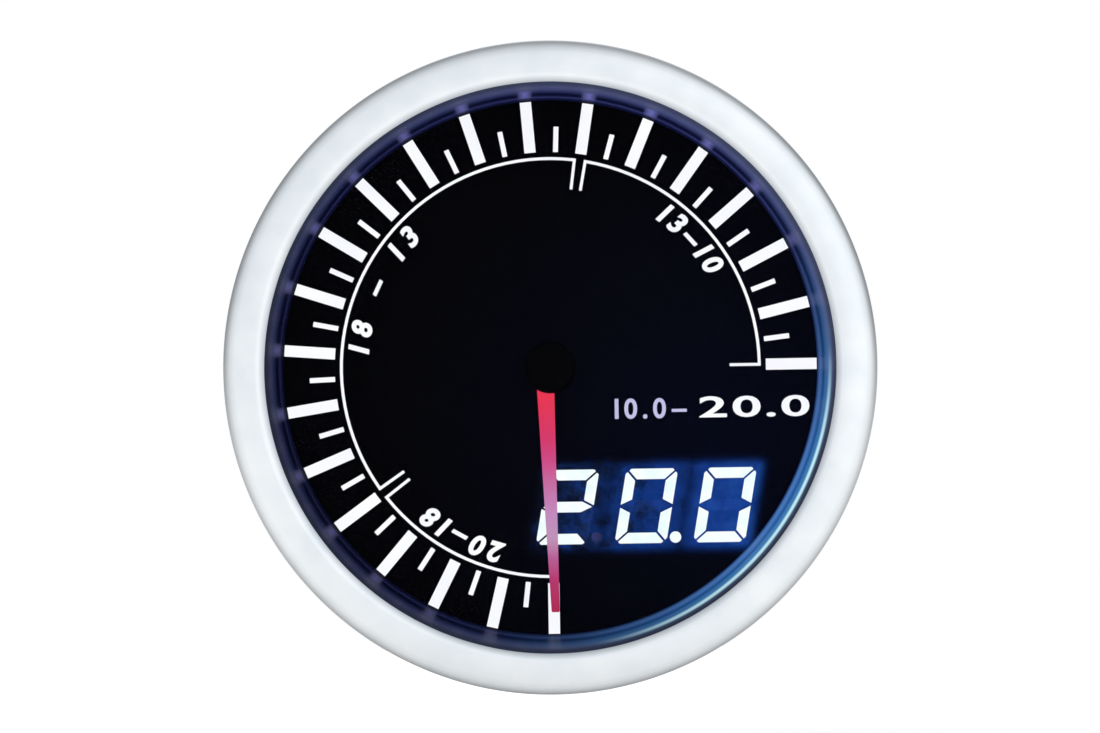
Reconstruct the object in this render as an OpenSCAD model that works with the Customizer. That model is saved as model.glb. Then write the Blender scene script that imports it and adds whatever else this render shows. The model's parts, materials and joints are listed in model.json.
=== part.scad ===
// Round dash gauge for a panel hole: an air fuel ratio dial whose pointer is turned by a
// geared stepper motor, with a three-digit readout behind the dial.
// Millimetres. Each part is drawn in dial coordinates: x to the right, y up, z towards the
// viewer, and z = 0 where the bezel meets the panel. standing() turns them so that the dial
// faces -Y and reads upright along +Z. Nothing in front of the panel is measured from the back.

/* [Bezel] */
// Reach of the bezel past the collar, over the edge of the panel's hole
bezel_flange = 2; // [1.6:0.1:4]
// Thickness of the lip over the lens, at its inner edge
lip_t = 1.2; // [0.6:0.1:2]
// Reach of the lip inwards, past the inner face of the housing's rim
lip_overhang = 0.65; // [0.3:0.05:1]
// Drop from the crest of the bezel to its inner edge
lip_drop = 0.3; // [0.2:0.05:0.8]
// Drop from the crest of the bezel to where its side turns straight
face_drop = 1.3; // [0.8:0.1:2]

/* [Housing] */
// Diameter of the collar that fills the hole in the panel
spigot_d = 59; // [58.6:0.1:60.2]
// Length of the collar behind the bezel
spigot_l = 4; // [3:0.5:8]
// Free space behind the motor
motor_clear = 1.7; // [1.4:0.1:8]
// Wall of the housing behind the collar
wall_t = 1.5; // [1.2:0.1:1.7]
// Thickness of the back of the housing
back_t = 2; // [1.5:0.1:2.4]
// Reach of the housing's front rim into the bezel
rim_l = 2.5; // [2.2:0.1:3]
// Depth of the ledge that carries the dial
ledge_depth = 2; // [1.6:0.1:2.4]

/* [Lens] */
// Thickness of the lens
lens_t = 1.5; // [1:0.1:1.6]
// Thickness of the gasket under the lens
gasket_t = 0.5; // [0.4:0.1:0.8]

/* [Dial] */
// Thickness of the dial plate
dial_t = 0.5; // [0.4:0.1:0.8]
// Thickness of the raised white marks
ink_t = 0.08; // [0.05:0.01:0.12]
// Width of the dark trim ring between the bezel's opening and the ticks
trim_w = 1.85; // [1.6:0.05:2.4]
// Length of a major tick
major_l = 4.9; // [4:0.1:5.2]
// Width of a major tick
major_w = 1.09; // [0.8:0.01:1.3]
// Length of a minor tick
minor_l = 2.45; // [1.8:0.05:3]
// Width of a minor tick
minor_w = 0.48; // [0.3:0.01:0.7]
// Gap between the major ticks and the fine line under them
line_gap = 0.49; // [0.3:0.01:0.8]
// Width of the fine line
line_w = 0.28; // [0.2:0.01:0.4]
// Length of the short radial lines that close each zone
bracket_line_l = 3; // [2:0.1:4]

/* [Pointer] */
// Distance by which the pointer stops short of the ticks' outer ends
pointer_short = 2.1; // [1.2:0.1:4]
// Width of the pointer at its root
pointer_root_w = 1.76; // [1.4:0.02:2]
// Width of the pointer at its tip
pointer_tip_w = 1.08; // [0.6:0.02:1.2]
// Distance of the blade's root to the left of the pointer's axis
root_offset = 0.55; // [0:0.05:0.6]
// Thickness of the pointer
pointer_t = 0.8; // [0.6:0.1:1]
// Diameter of the cap over the pointer's root
cap_d = 5; // [4.8:0.1:6]
// Diameter of the pointer's shaft
shaft_d = 1.2; // [1:0.1:1.4]

/* [Readout] */
// Height of a digit
digit_h = 7.2; // [6.6:0.1:7.4]
// Width of a digit
digit_w = 5; // [4.4:0.1:5.2]
// Distance from one digit to the next
digit_pitch = 7.6; // [7.2:0.1:7.6]
// Width of a lit bar
bar_w = 1.02; // [0.8:0.02:1.2]
// Width of the gap between two bars
bar_gap = 0.2; // [0.12:0.02:0.3]
// Cut across the outer corners of a digit, along each side
bar_cut = 0.5; // [0.3:0.05:0.6]
// Lean of the digits in degrees
digit_lean = 10; // [0:1:12]
// Diameter of a decimal point
point_d = 1.1; // [0.8:0.1:1.3]
// Place of the readout's centre to the right of the pointer's axis
readout_x = 9.06; // [8.8:0.02:9.4]
// Drop of the readout's centre below the pointer's axis
readout_drop = 13.5; // [12.8:0.05:13.6]

/* [Light and board] */
// Thickness of the light guide
guide_t = 3; // [2.4:0.1:3.4]
// Depth of the light box behind the light guide
light_box_h = 4.2; // [3.6:0.1:4.6]
// Thickness of the main board
board_t = 1.6; // [1.2:0.1:2]

/* [Motor] */
// Thickness of the motor's case
motor_t = 8; // [7.8:0.1:8.6]
// Wall of the motor's case
motor_wall = 0.8; // [0.6:0.1:0.9]
// Gear module, the pitch diameter for each tooth
gear_module = 0.15; // [0.14:0.005:0.155]
// Diameter of the magnet on the rotor
magnet_d = 4.4; // [3.8:0.1:4.8]
// Length of a coil
coil_l = 9; // [8:0.1:9.4]
// Diameter of a coil's flanges
coil_d = 2.9; // [2.6:0.1:2.9]

/* [Sockets] */
// Outer width of a socket
socket_w = 12; // [11:0.1:12.4]
// Outer height of a socket
socket_h = 7; // [6.8:0.1:7.4]
// Wall of a socket
socket_wall = 1; // [0.8:0.1:1.1]
// Depth of a socket's hollow
socket_depth = 9.5; // [9.2:0.1:10]
// Length of a pin inside the hollow
pin_l = 5; // [4:0.1:5]

/* [Mounting] */
// Diameter of a mounting stud
stud_d = 4; // [3.6:0.1:4]
// Distance from the edge of the collar in to the axis of a stud
stud_inset = 10.5; // [10:0.1:10.7]
// Thickness of panel that the clamp is set to
panel_t = 5; // [4.2:0.1:6]
// Width of the clamp's strip
clamp_w = 10; // [8:0.5:10]
// Thickness of the clamp's strip
clamp_t = 1.2; // [1:0.1:1.2]
// Free travel of the clamp towards the panel
clamp_play = 4; // [3.9:0.1:8]
// Diameter of a thumb nut
thumb_d = 10; // [9:0.5:12]
// Height of a thumb nut
thumb_h = 7; // [6:0.5:9]
// Length of stud left bare behind a thumb nut
stud_proud = 3.3; // [1:0.1:6]

/* [Hidden] */
$fn = 96;

// overrun of every cut, and the clearances that pieces share
cut = 0.1;
slip_gap = 0.1;
loose_gap = 0.2;
running_gap = 0.05;
touch_gap = 0.02;

// bezel and the stack in front of the panel
spigot_r = spigot_d / 2;
bezel_r = spigot_r + bezel_flange;
rim_step = 0.5;
rim_r = spigot_r - rim_step;
rim_t = 0.8;
snap_h = 0.3;
snap_w = 0.8;
snap_inset = 1.5;
snap_z = rim_l - snap_inset;
bezel_bore_r = rim_r + slip_gap;
seat_chamfer_gap = 0.05;
rear_edge = 0.2;
gasket_z = rim_l;
lens_z = gasket_z + gasket_t;
lens_front_z = lens_z + lens_t;
bezel_h = lens_front_z + lip_t + lip_drop;
lens_r = bezel_bore_r - loose_gap;
seat_r = rim_r - rim_t;
aperture_r = seat_r - lip_overhang;
crest_share = 0.75;
crest_r = bezel_r + (aperture_r - bezel_r) * crest_share;
arc_steps = 8;
bezel_outline = concat(
    [[spigot_r + seat_chamfer_gap, 0], [bezel_r - rear_edge, 0], [bezel_r, rear_edge]],
    arc([crest_r, bezel_h - face_drop], [bezel_r - crest_r, face_drop], 0, 90),
    bow(aperture_r, lip_drop),
    [[aperture_r, lens_front_z], [bezel_bore_r, lens_front_z],
        [bezel_bore_r, spigot_r + seat_chamfer_gap - bezel_bore_r]]);

// housing behind the collar
rear_step = 0.6;
rear_r = spigot_r - rear_step;
bore_r = rear_r - wall_t;

// dial, trim ring and the stack behind the panel
dial_r = seat_r - loose_gap;
dial_z = dial_t - ledge_depth;
mark_z = dial_z + ink_t;
tick_outer_r = aperture_r - trim_w;
line_r = tick_outer_r - major_l - line_gap - line_w / 2;
trim_r = seat_r - slip_gap;
trim_foot_r = tick_outer_r + running_gap;
trim_foot_w = 0.4;
trim_foot_h = 0.5;
trim_step_w = 0.4;
trim_step_h = 0.6;
trim_top_r = aperture_r - running_gap;
guide_r = bore_r - loose_gap;
guide_z = -ledge_depth - guide_t;
board_r = guide_r - loose_gap;
board_z = guide_z - light_box_h;
board_back_z = board_z - board_t;
back_inner_z = board_back_z - motor_t - motor_clear;
back_z = back_inner_z - back_t;
light_box_t = 1;

// scale: 21 major ticks over three quarters of a turn, clockwise from six o'clock
major_count = 21;
sweep = 270;
start_angle = -90;
zone_ticks = [0, 4, 14, 20];
zone_gap = 1.5;

// pointer
pointer_reach = tick_outer_r - pointer_short;
shaft_r = shaft_d / 2;
cap_r = cap_d / 2;
cap_wall = 0.4;
cap_gap = 0.1;
cap_top_t = 0.8;
cap_edge = 0.3;
pointer_lift = 1.1;
pointer_z = dial_z + pointer_lift;
pointer_top_z = pointer_z + pointer_t;
boss_r = cap_r - cap_wall - cap_gap;
cap_skirt = 0.3;
cap_z = pointer_z - cap_skirt;
cap_top_z = pointer_top_z + cap_gap + cap_top_t;
hub_r = 1.4;
hub_clear = 0.2;
hub_z = dial_z + hub_clear;
shaft_top_z = pointer_top_z - touch_gap;
shaft_hole_r = hub_r + 2 * loose_gap;

// readout
readout = [readout_x, -readout_drop];
readout_margin_x = 0.3;
readout_margin_y = 0.6;
readout_digits = 3;
case_w = (readout_digits - 1) * digit_pitch + digit_w + digit_h * tan(digit_lean)
    + 2 * readout_margin_x;
case_h = digit_h + 2 * readout_margin_y;
case_front_z = -ledge_depth - running_gap;
bar_depth = 0.6;
pocket_gap = 0.03;
bar_count = 7;
window_lip = 0.3;
window_gap = 0.05;
point_side = 0.35;
digit_two = [1, 1, 0, 1, 1, 0, 1];
digit_zero = [1, 1, 1, 1, 1, 1, 0];
shown = [digit_two, digit_zero, digit_zero];
points_lit = [0, 1, 0];
display_pin_count = 9;
display_pin_pitch = 2;
display_pin_w = 0.5;
display_pin_inset = 1.65;
display_pin_proud = 1;

// screws that hold the board and the light box to the posts of the housing
screw_angles = [30, 150, 250];
post_r = 2.4;
post_to_wall = 2.8;
screw_circle_r = bore_r - post_to_wall;
post_rib_w = 2.4;
post_floor = 1.5;
screw_r = 1;
screw_head_r = 1.8;
screw_head_h = 1.2;
screw_recess = 1.5;
screw_end_gap = 0.5;
screw_end_z = back_inner_z + post_floor + screw_end_gap;

// motor
pressure_angle = 20;
pinion_teeth = 8;
wheel_teeth = 96;
output_teeth = 120;
tooth_shift = 0.53;
tip_cut = 0.23;
root_depth = 1.25;
gear_play = 0.024;
flank_steps = 2;
train_angle = 130;
stage_one = (pinion_teeth + wheel_teeth) / 2 * gear_module;
stage_two = (pinion_teeth + output_teeth) / 2 * gear_module;
intermediate_at = stage_two * [cos(train_angle), sin(train_angle)];
rotor_at = intermediate_at + [stage_one, 0];
pinion_tip_r = (pinion_teeth / 2 + 1 + tooth_shift - tip_cut) * gear_module;
pinion_root_r = (pinion_teeth / 2 - root_depth + tooth_shift) * gear_module;
wheel_tip_r = (wheel_teeth / 2 + 1 - tooth_shift) * gear_module;
wheel_root_r = (wheel_teeth / 2 - root_depth - tooth_shift) * gear_module;
output_tip_r = (output_teeth / 2 + 1 - tooth_shift) * gear_module;
output_root_r = (output_teeth / 2 - root_depth - tooth_shift) * gear_module;
wheel_t = 0.8;
level_gap = 0.4;
pinion_overlap = 0.2;
gear_pin_r = 0.25;
gear_bore_gap = 0.03;
bore_sides = 12;
pin_bore_r = (gear_pin_r + gear_bore_gap) / cos(180 / bore_sides);
shaft_bore_r = (shaft_r + touch_gap) / cos(180 / bore_sides);
motor_z = board_back_z;
motor_back_z = motor_z - motor_t;
motor_inner_z = motor_z - motor_wall;
motor_floor_z = motor_back_z + motor_wall;
output_z = motor_inner_z - level_gap - wheel_t - touch_gap;
intermediate_z = output_z - level_gap - wheel_t - loose_gap;
rotor_pinion_top_z = output_z - level_gap;
shell_split_z = intermediate_z - level_gap;
coil_z = motor_floor_z + coil_d / 2;
magnet_h = 2.3;
magnet_z = coil_z - magnet_h / 2;
magnet_r = magnet_d / 2;
magnet_gap = 0.25;
stator_t = 0.6;
stator_arm_w = 1.4;
stator_ring_w = 1.2;
stator_ring_r = magnet_r + magnet_gap + stator_ring_w;
bobbin_r = 1;
bobbin_bore_r = 0.8;
flange_t = 0.4;
winding_gap = 0.1;
// the upright coil stands right of the rotor, the level coil lies above it
right_coil_gap = 1.2;
right_coil_at = [rotor_at[0] + stator_ring_r + right_coil_gap + coil_d / 2,
    rotor_at[1] - coil_l / 2 - stator_ring_w / 2];
top_coil_shift = 0.9;
top_coil_at = [rotor_at[0] + top_coil_shift,
    rotor_at[1] + stator_ring_r + coil_d / 2 + level_gap];
case_gap = 0.25;
motor_left = intermediate_at[0] - wheel_tip_r - case_gap;
motor_right = right_coil_at[0] + coil_d / 2 + 2 * case_gap;
motor_low = -output_tip_r - case_gap;
motor_high = max(intermediate_at[1] + wheel_tip_r, top_coil_at[1] + coil_d / 2) + case_gap;
motor_corner_r = 1.5;
shell_lap = 0.3;
lap_t = motor_wall / 2;
bearing_r = 1.4;
bearing_h = 2.6;
bearing_depth = 0.5;
peg_r = 0.9;
peg_inset = 0.6;
peg_proud = 0.6;
terminal_r = 0.25;
terminal_proud = 0.3;
stator_post_r = 0.9;
stator_peg_r = 0.4;
stator_peg_proud = 0.2;
// flat steel plate: a ring round the magnet, closed through both coils
stator_right = right_coil_at[0] + stator_arm_w / 2;
stator_low = right_coil_at[1] - coil_l / 2 - 2 * stator_arm_w;
stator_mid = right_coil_at[1] + coil_l / 2 + stator_arm_w / 2;
stator_top = top_coil_at[1] + stator_arm_w / 2;
stator_left = top_coil_at[0] - coil_l / 2 - 2 * stator_arm_w;
stator_inner = rotor_at[0] + magnet_r;
// the plate stands on two posts, at its lower right and upper left corners
stator_pegs = [[stator_right - stator_arm_w / 2, stator_low + stator_arm_w / 2],
    [stator_left + stator_arm_w / 2, stator_top - stator_arm_w / 2]];
// places of the pegs that hold the motor to the board
peg_places = [[motor_left + peg_r + peg_inset, motor_high - peg_r - peg_inset],
    [motor_right - peg_r - peg_inset, motor_low + peg_r + peg_inset]];
// the wire ends of the two coils, beside their flanges
terminal_places = [
    [right_coil_at[0] + coil_d / 2 - terminal_r, right_coil_at[1] - coil_l / 2 - terminal_r - running_gap],
    [right_coil_at[0] + coil_d / 2 - terminal_r, right_coil_at[1] + coil_l / 2 + terminal_r + running_gap],
    [top_coil_at[0] - coil_l / 2 - terminal_r - running_gap, top_coil_at[1] + coil_d / 2 - terminal_r],
    [top_coil_at[0] + coil_l / 2 + terminal_r + running_gap, top_coil_at[1] + coil_d / 2 - terminal_r]];

// electronics on the board
led_w = 3;
led_d = 1.4;
led_h = 0.8;
led_circle_r = 14.5;
led_count = 6;
led_step = 45;
chip_w = 7;
chip_h = 1.4;
chip_leg_reach = 0.9;
chip_leg_w = 0.3;
chip_leg_t = 0.2;
chip_leg_count = 8;
chip_leg_pitch = 0.75;
regulator_size = [6.5, 3.5, 1.6];
regulator_tab = [3, 1.2, 0.4];
capacitor_r = 2.5;
capacitor_h = 6;
capacitor_base_h = 0.6;
resistor_size = [2, 1.2, 0.5];
resistor_count = 5;
resistor_pitch = 3;
part_margin = 2.2;
chip_y = 3;
regulator_y = -5;
chip_at = [motor_right + motor_wall + part_margin + chip_w / 2, chip_y];
regulator_at = [motor_left - motor_wall - part_margin - regulator_size[1] / 2, regulator_y];
resistor_y = motor_high + motor_wall + part_margin;
// one capacitor stands above the regulator, the other below the chip
capacitor_places = [
    [regulator_at[0], regulator_y + regulator_size[0] / 2 + part_margin + capacitor_r],
    [chip_at[0], chip_y - chip_w / 2 - chip_leg_reach - part_margin - capacitor_r]];

// sockets
socket_x = 9.5;
socket_y = -16;
socket_places = [[-socket_x, socket_y], [socket_x, socket_y]];
socket_gap = 0.15;
socket_floor_z = back_z + socket_depth;
pin_w = 0.64;
pin_pitch = 2.5;
pin_count = 4;
pin_proud = 0.6;

// studs, clamp and nuts
stud_r = stud_d / 2;
stud_x = spigot_r - stud_inset;
hex_share = 1.75;
hex_sides = 6;
hex_r = stud_r * hex_share / cos(180 / hex_sides);
stud_head_h = 2.4;
stud_gap = 0.05;
stud_nut_h = 3.2;
clamp_side_gap = 0.25;
clamp_inner_x = spigot_r + clamp_side_gap;
clamp_bend_r = 2;
clamp_hole_gap = 0.25;
clamp_front_z = back_z - stud_nut_h - clamp_play;
clamp_back_z = clamp_front_z - clamp_t;
washer_r = 3.6;
washer_t = 0.8;
washer_slot_w = 0.6;
thumb_z = clamp_back_z - washer_t;
thumb_back_z = thumb_z - thumb_h;
thumb_neck_h = 2;
thumb_neck_share = 0.72;
knurl_count = 30;
knurl_depth = 0.35;
stud_end_z = thumb_back_z - stud_proud;
stud_tip = 0.5;

module standing() {
    rotate([90, 0, 0]) children();
}

// a disc and a tube between two heights
module disc(r, low, high) {
    translate([0, 0, low]) cylinder(r = r, h = high - low);
}

module tube(r, hole_r, low, high) {
    difference() {
        disc(r, low, high);
        disc(hole_r, low - cut, high + cut);
    }
}

// a box from one corner to the other
module block(from, to) {
    translate(from) cube(to - from);
}

module block_at(centre, size, low, high) {
    block([centre[0] - size[0] / 2, centre[1] - size[1] / 2, low],
        [centre[0] + size[0] / 2, centre[1] + size[1] / 2, high]);
}

module plate(low, high) {
    translate([0, 0, low]) linear_extrude(high - low) children();
}

// quarter of an ellipse about a centre, from one angle to another
function arc(centre, radii, from, to) = [for (i = [0:arc_steps])
    let (a = from + (to - from) * i / arc_steps)
    centre + [radii[0] * cos(a), radii[1] * sin(a)]];

// the bezel's face from the crest to an edge, bowed by a drop
function bow(edge, drop) = [for (i = [1:arc_steps]) let (s = i / arc_steps)
    [crest_r + (edge - crest_r) * s, bezel_h - drop * s * s]];

module bezel_ring() standing() color("gainsboro") difference() {
    rotate_extrude() polygon(bezel_outline);
    tube(rim_r + snap_h + slip_gap, rim_r - cut, snap_z - slip_gap, snap_z + snap_w + slip_gap);
}

module lens() standing() color("lightcyan", 0.35) disc(lens_r, lens_z, lens_front_z);

module lens_gasket() standing() color("black")
    tube(rim_r - running_gap, seat_r, gasket_z, lens_z);

module trim_ring() standing() color("midnightblue") rotate_extrude() polygon([
    [trim_r, dial_z], [trim_r, lens_z], [trim_top_r, lens_z],
    [trim_top_r - trim_step_w, lens_z - trim_step_h],
    [trim_foot_r + trim_foot_w, dial_z + trim_foot_h], [trim_foot_r, dial_z]]);

// everything that passes behind the dial leaves this bay free for the readout
module readout_bay(gap, low, high) {
    block([readout[0] - case_w / 2 - gap, readout[1] - case_h / 2 - gap, low],
        [rear_r, readout[1] + case_h / 2 + gap, high]);
}

module window_outline(gap) {
    translate(readout)
        square([case_w - 2 * window_lip - 2 * gap, case_h - 2 * window_lip - 2 * gap], center = true);
}

module dial_plate() standing() color("#0b0b14") difference() {
    disc(dial_r, -ledge_depth, dial_z);
    disc(shaft_hole_r, -ledge_depth - cut, dial_z + cut);
    plate(-ledge_depth - cut, dial_z + cut) window_outline(0);
}

module display_window() standing() color("navy", 0.5)
    plate(-ledge_depth, dial_z) window_outline(window_gap);

function tick_angle(i) = start_angle - i * sweep / (major_count - 1);

module tick(i, length, width) {
    rotate([0, 0, tick_angle(i)]) block([tick_outer_r - major_l, -width / 2, dial_z],
        [tick_outer_r - major_l + length, width / 2, mark_z]);
}

// the fine line of one zone with a short radial line at each end
module zone(from, to) {
    plate(dial_z, mark_z) {
        rotate(to) line_sector(from - to);
        for (a = [from, to]) rotate(a)
            translate([line_r + line_w / 2 - bracket_line_l, -line_w / 2])
                square([bracket_line_l, line_w]);
    }
}

// flat ring sector of the fine line, from the x axis through an angle
module line_sector(angle) {
    reach = spigot_d;
    fan = [for (i = [0:arc_steps]) reach * [cos(angle * i / arc_steps), sin(angle * i / arc_steps)]];
    intersection() {
        difference() {
            circle(line_r + line_w / 2);
            circle(line_r - line_w / 2);
        }
        polygon(concat([[0, 0]], fan));
    }
}

module dial_marks() standing() color("white") {
    for (i = [0:major_count - 1]) tick(i, major_l, major_w);
    for (i = [0:major_count - 2]) tick(i + 0.5, minor_l, minor_w);
    for (k = [0:len(zone_ticks) - 2]) zone(
        tick_angle(zone_ticks[k]) - (k > 0 ? zone_gap : 0),
        tick_angle(zone_ticks[k + 1]) + (k < len(zone_ticks) - 2 ? zone_gap : 0));
}

// pointer at six o'clock, the lean end of the scale
module pointer() standing() color("crimson") difference() {
    union() {
        disc(boss_r, pointer_z, pointer_top_z);
        plate(pointer_z, pointer_top_z) rotate(start_angle) polygon([
            [0, -root_offset - pointer_root_w / 2], [pointer_reach, -pointer_tip_w / 2],
            [pointer_reach, pointer_tip_w / 2], [0, pointer_root_w / 2 - root_offset]]);
    }
    disc(shaft_r + touch_gap, pointer_z - cut, pointer_top_z + cut);
}

module pointer_cap() standing() color("#101012") difference() {
    rotate_extrude() polygon([[0, cap_z], [cap_r, cap_z], [cap_r, cap_top_z - cap_edge],
        [cap_r - cap_edge, cap_top_z], [0, cap_top_z]]);
    disc(cap_r - cap_wall, cap_z - cut, pointer_top_z + cap_gap);
    rotate([0, 0, start_angle]) block([0, -root_offset - pointer_root_w / 2 - cap_gap, cap_z - cut],
        [cap_d, pointer_root_w / 2 + cap_gap, pointer_top_z + cap_gap]);
}

module pointer_hub() standing() color("#202024")
    tube(hub_r, shaft_r + touch_gap, hub_z, pointer_z);

module pointer_shaft() standing() color("silver")
    disc(shaft_r, motor_floor_z - bearing_depth, shaft_top_z);

// places of the three screws
module at_screws() {
    for (a = screw_angles) rotate([0, 0, a]) translate([screw_circle_r, 0, 0]) children();
}

module light_guide() standing() color("aliceblue", 0.6) difference() {
    disc(guide_r, guide_z, -ledge_depth);
    disc(bearing_r + 2 * loose_gap, guide_z - cut, -ledge_depth + cut);
    readout_bay(loose_gap, guide_z - cut, -ledge_depth + cut);
}

module light_box() standing() color("white") difference() {
    plate(board_z, guide_z) difference() {
        union() {
            difference() {
                circle(guide_r);
                circle(guide_r - light_box_t);
            }
            at_screws() circle(post_r);
        }
        at_screws() circle(screw_r + slip_gap);
    }
    readout_bay(loose_gap, board_z - cut, guide_z + cut);
    at_screws() disc(screw_head_r + loose_gap, guide_z - screw_recess, guide_z + cut);
}

module case_screws() standing() color("silver") at_screws() {
    disc(screw_head_r, guide_z - screw_recess, guide_z - screw_recess + screw_head_h);
    disc(screw_r, screw_end_z, guide_z - screw_recess);
}

// bars of one digit about its centre, grown by a clearance; 0 to 6 run clockwise from the
// top bar, and 6 is the middle one
function bar_points(k, grow) =
    let (x = digit_w / 2 + grow, y = digit_h / 2 + grow, t = bar_w + 2 * grow,
        g = (bar_gap - 2 * grow) / sqrt(2), c = bar_cut, e = (c - g) / 2,
        level = [[-x + c, y], [x - c, y], [x - g - e, y - e], [x - g - t, y - t],
            [-x + g + t, y - t], [-x + g + e, y - e]],
        upright = [[x, y - c], [x, g], [x - t, t / 2 + g], [x - t, y - t - g], [x - e, y - g - e]],
        middle = [[-x + g, 0], [-x + g + t, t / 2], [x - g - t, t / 2], [x - g, 0],
            [x - g - t, -t / 2], [-x + g + t, -t / 2]])
    k == 0 ? level
    : k == 1 ? upright
    : k == 2 ? flipped(upright, 1, -1)
    : k == 3 ? flipped(level, 1, -1)
    : k == 4 ? flipped(upright, -1, -1)
    : k == 5 ? flipped(upright, -1, 1)
    : middle;

function flipped(points, sx, sy) = [for (p = points) [p[0] * sx, p[1] * sy]];
function leaned(points) = [for (p = points) [p[0] + p[1] * tan(digit_lean), p[1]]];
function digit_x(d) = readout[0] + (d - (readout_digits - 1) / 2) * digit_pitch;

module bar(d, k, grow) {
    translate([digit_x(d), readout[1]]) polygon(leaned(bar_points(k, grow)));
}

module point(d, grow) {
    translate([digit_x(d) + digit_w / 2 - digit_h / 2 * tan(digit_lean) + point_side + point_d / 2,
        readout[1] - digit_h / 2 + point_d / 2])
        circle(point_d / 2 + grow);
}

// bars whose state is the one asked for, or all of them
module bars(state, grow) {
    for (d = [0:readout_digits - 1]) {
        for (k = [0:bar_count - 1]) if (state == undef || shown[d][k] == state) bar(d, k, grow);
        if (state == undef || points_lit[d] == state) point(d, grow);
    }
}

module display_case() standing() color("#15151a") difference() {
    block_at(readout, [case_w, case_h], board_z, case_front_z);
    plate(case_front_z - bar_depth, case_front_z + cut) bars(undef, pocket_gap);
    at_display_pins(board_z - cut, board_z + display_pin_proud + pocket_gap,
        display_pin_w + 2 * pocket_gap);
    socket_pin_rows(pin_w + 2 * pocket_gap, board_z - cut, board_z + pin_proud + pocket_gap);
}

module lit_segments() standing() color("lightcyan")
    plate(case_front_z - bar_depth, case_front_z) bars(1, 0);

module unlit_segments() standing() color("#1c2f8f")
    plate(case_front_z - bar_depth, case_front_z) bars(0, 0);

module at_display_pins(low, high, width) {
    for (i = [0:display_pin_count - 1]) block_at(
        [readout[0] + (i - (display_pin_count - 1) / 2) * display_pin_pitch,
            readout[1] + case_h / 2 - display_pin_inset],
        [width, width], low, high);
}

module display_pins() standing() color("silver")
    at_display_pins(board_back_z - display_pin_proud, board_z + display_pin_proud, display_pin_w);

module socket_pin_rows(width, low, high) {
    for (p = socket_places) for (i = [0:pin_count - 1])
        block_at([p[0] + (i - (pin_count - 1) / 2) * pin_pitch, p[1]], [width, width], low, high);
}

module main_board() standing() color("darkgreen") difference() {
    disc(board_r, board_back_z, board_z);
    disc(bearing_r + loose_gap, board_back_z - cut, board_z + cut);
    at_screws() disc(screw_r + slip_gap, board_back_z - cut, board_z + cut);
    for (p = peg_places) translate(p) disc(peg_r + running_gap, board_back_z - cut, board_z + cut);
    for (p = terminal_places) translate(p)
        disc(terminal_r + running_gap, board_back_z - cut, board_z + cut);
    at_display_pins(board_back_z - cut, board_z + cut, display_pin_w + 2 * pocket_gap);
    socket_pin_rows(pin_w + 2 * pocket_gap, board_back_z - cut, board_z + cut);
}

module backlight_leds() standing() color("white")
    for (i = [0:led_count - 1]) rotate([0, 0, i * led_step])
        block_at([led_circle_r, 0], [led_d, led_w], board_z, board_z + led_h);

module microcontroller() standing() color("#1a1a1a") {
    block_at(chip_at, [chip_w, chip_w], board_back_z - chip_h, board_back_z - chip_leg_t / 2);
    block_at(chip_at, [chip_w + 2 * chip_leg_reach, (chip_leg_count - 1) * chip_leg_pitch + chip_leg_w],
        board_back_z - chip_leg_t, board_back_z);
    block_at(chip_at, [(chip_leg_count - 1) * chip_leg_pitch + chip_leg_w, chip_w + 2 * chip_leg_reach],
        board_back_z - chip_leg_t, board_back_z);
}

module voltage_regulator() standing() color("#1a1a1a") {
    block_at(regulator_at, [regulator_size[1], regulator_size[0]],
        board_back_z - regulator_size[2], board_back_z);
    block_at([regulator_at[0] - regulator_size[1] / 2 - regulator_tab[1] / 2, regulator_at[1]],
        [regulator_tab[1] + cut, regulator_tab[0]], board_back_z - regulator_tab[2], board_back_z);
}

module capacitors() standing() color("#8f949c")
    for (p = capacitor_places) translate(p) {
        block_at([0, 0], [2 * capacitor_r, 2 * capacitor_r],
            board_back_z - capacitor_base_h, board_back_z);
        disc(capacitor_r - slip_gap, board_back_z - capacitor_h, board_back_z - capacitor_base_h);
    }

module resistors() standing() color("#222222")
    for (i = [0:resistor_count - 1])
        block_at([(i - (resistor_count - 1) / 2) * resistor_pitch, resistor_y],
            [resistor_size[1], resistor_size[0]], board_back_z - resistor_size[2], board_back_z);

module socket(place) {
    difference() {
        block_at(place, [socket_w, socket_h], back_z, board_back_z);
        block_at(place, [socket_w - 2 * socket_wall, socket_h - 2 * socket_wall],
            back_z - cut, socket_floor_z);
        for (i = [0:pin_count - 1])
            block_at([place[0] + (i - (pin_count - 1) / 2) * pin_pitch, place[1]],
                [pin_w + 2 * pocket_gap, pin_w + 2 * pocket_gap], socket_floor_z - cut, board_back_z + cut);
    }
}

module socket_pins(place) {
    for (i = [0:pin_count - 1]) translate([place[0] + (i - (pin_count - 1) / 2) * pin_pitch, place[1], 0])
        block([-pin_w / 2, -pin_w / 2, socket_floor_z - pin_l],
            [pin_w / 2, pin_w / 2, board_z + pin_proud]);
}

module power_socket() standing() color("ivory") socket(socket_places[0]);

module sensor_socket() standing() color("ivory") socket(socket_places[1]);

module power_pins() standing() color("gold") socket_pins(socket_places[0]);

module sensor_pins() standing() color("gold") socket_pins(socket_places[1]);

module at_studs() {
    for (side = [-1, 1]) translate([side * stud_x, 0, 0]) children();
}

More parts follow.
